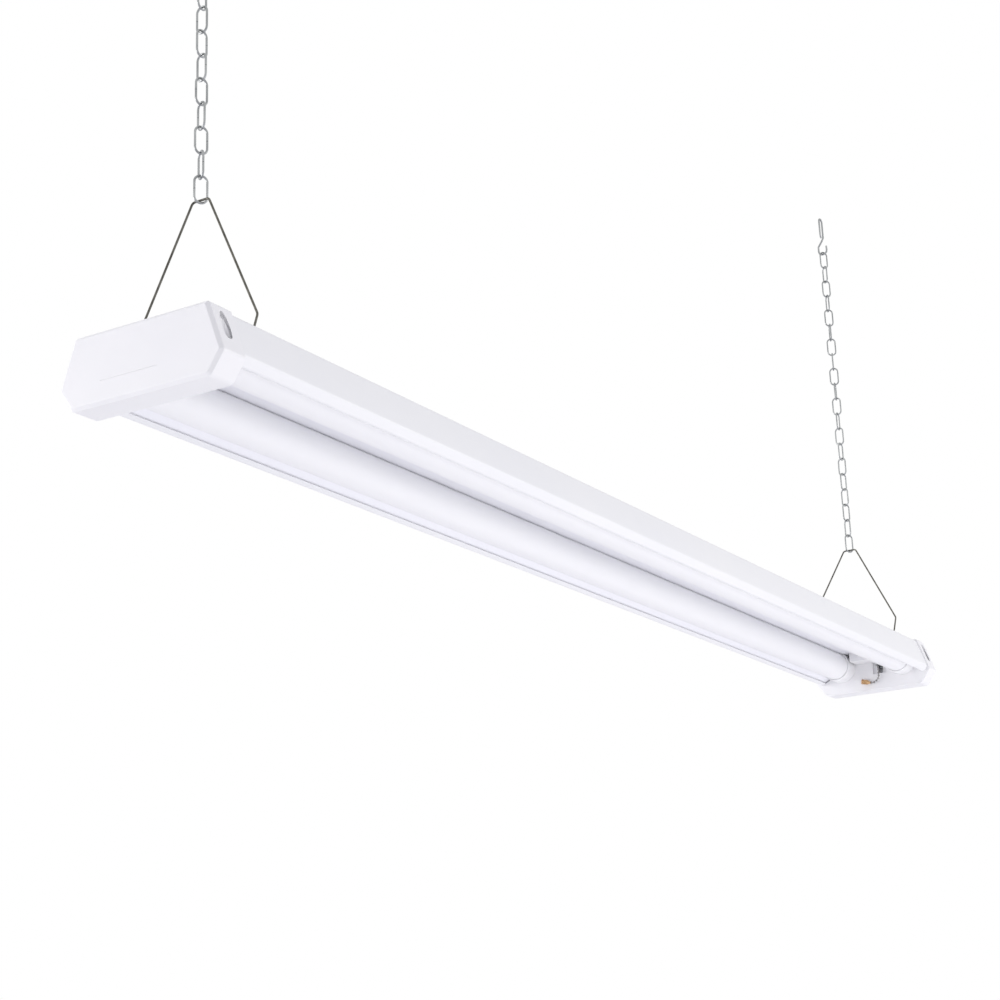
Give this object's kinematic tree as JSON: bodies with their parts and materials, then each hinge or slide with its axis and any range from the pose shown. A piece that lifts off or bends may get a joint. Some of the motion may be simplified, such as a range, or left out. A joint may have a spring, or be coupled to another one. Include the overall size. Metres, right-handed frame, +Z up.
{
  "type": "hanging shop light",
  "caption": "Long white metal shop light with frosted tubes, hung level on link chains by wire hangers, with a pull-chain switch at one end.",
  "frame": {"origin": "midway between the two ceiling hooks, at the height where their eyes bear on what carries them", "axes": "+X along the light towards the switch and cord end, +Y across it, +Z up"},
  "size_m": [1.2208, 0.1304, 0.5486],
  "materials": {
    "white_enamel": "satin powder coat",
    "white_moulding": "fine satin moulding",
    "frosted_plastic": "frosted translucent",
    "led_board": "white solder mask",
    "led_phosphor": "yellow phosphor gel",
    "zinc_plate": "bright zinc plating",
    "dark_wire": "darkened spring wire",
    "black_plastic": "fine matt",
    "driver_plastic": "matt",
    "brass": "polished plating",
    "driver_card": "solder mask",
    "driver_components": "mixed components",
    "terminal_plastic": "natural nylon",
    "wire_insulation": "extruded sleeve"
  },
  "bodies": {
    "hooks": {"s_hook_near": "zinc_plate", "s_hook_far": "zinc_plate"},
    "near_top_link": {"top_link_near": "zinc_plate"},
    "near_run": {"chain_near": "zinc_plate"},
    "near_end_link": {"end_link_near": "zinc_plate"},
    "far_top_link": {"top_link_far": "zinc_plate"},
    "far_run": {"chain_far": "zinc_plate"},
    "far_end_link": {"end_link_far": "zinc_plate"},
    "light": {"board_screws": "zinc_plate", "cap_screws": "zinc_plate", "cord_inlet_bush": "black_plastic", "diffuser_left": "frosted_plastic", "diffuser_right": "frosted_plastic", "driver_board": "driver_card", "driver_case": "driver_plastic", "driver_parts": "driver_components", "earth_screw": "zinc_plate", "end_cap_far": "white_moulding", "end_cap_near": "white_moulding", "hanger_far": "dark_wire", "hanger_near": "dark_wire", "housing_shell": "white_enamel", "led_board_left": "led_board", "led_board_right": "led_board", "led_chips_left": "led_phosphor", "led_chips_right": "led_phosphor", "led_leads_left": "wire_insulation", "led_leads_right": "wire_insulation", "mains_leads": "wire_insulation", "reflector_tray": "white_enamel", "switch_body": "white_moulding", "switch_leads": "wire_insulation", "terminal_block": "terminal_plastic"},
    "switch_lever": {"pull_lever": "zinc_plate"},
    "chain_top": {"pull_chain_top": "zinc_plate"},
    "chain_and_bell": {"pull_chain": "zinc_plate", "pull_bell": "brass"}
  },
  "joints": [
    {"name": "side_swing_near", "type": "hinge", "parent": "hooks", "child": "near_top_link", "pos_m": [-0.552, 0, -0.0416], "axis": [1, 0, 0], "range_deg": [-20, 20]},
    {"name": "sway_near", "type": "hinge", "parent": "near_top_link", "child": "near_run", "pos_m": [-0.552, 0, -0.0591], "axis": [0, 1, 0], "range_deg": [-20, 20]},
    {"name": "level_near", "type": "hinge", "parent": "near_run", "child": "near_end_link", "pos_m": [-0.552, 0, -0.37935], "axis": [0, 1, 0], "range_deg": [-20, 20]},
    {"name": "rock", "type": "hinge", "parent": "near_end_link", "child": "light", "pos_m": [-0.552, 0, -0.39605], "axis": [1, 0, 0], "range_deg": [-12, 12]},
    {"name": "side_swing_far", "type": "hinge", "parent": "hooks", "child": "far_top_link", "pos_m": [0.552, 0, -0.0416], "axis": [1, 0, 0], "range_deg": [-20, 20]},
    {"name": "sway_far", "type": "hinge", "parent": "far_top_link", "child": "far_run", "pos_m": [0.552, 0, -0.0591], "axis": [0, 1, 0], "range_deg": [-20, 20]},
    {"name": "level_far", "type": "hinge", "parent": "far_run", "child": "far_end_link", "pos_m": [0.552, 0, -0.37935], "axis": [0, 1, 0], "range_deg": [-20, 20]},
    {"name": "pull_switch", "type": "hinge", "parent": "light", "child": "switch_lever", "pos_m": [0.595, -0.0087, -0.5209], "axis": [0, -1, 0], "range_deg": [0, 22], "stiffness_Nm_per_rad": 0.35},
    {"name": "chain_hang", "type": "hinge", "parent": "switch_lever", "child": "chain_top", "pos_m": [0.583, -0.0087, -0.51958], "axis": [0, -1, 0], "range_deg": [-22, 0]},
    {"name": "chain_swing", "type": "hinge", "parent": "chain_top", "child": "chain_and_bell", "pos_m": [0.583, -0.0087, -0.52277], "axis": [1, 0, 0], "range_deg": [-45, 15]}
  ],
  "couplings": [
    {"joint": "level_near", "follows": "sway_near", "ratio": -1},
    {"joint": "side_swing_far", "follows": "side_swing_near", "ratio": 1},
    {"joint": "sway_far", "follows": "sway_near", "ratio": 1},
    {"joint": "level_far", "follows": "sway_near", "ratio": -1},
    {"joint": "chain_hang", "follows": "pull_switch", "ratio": -1}
  ]
}
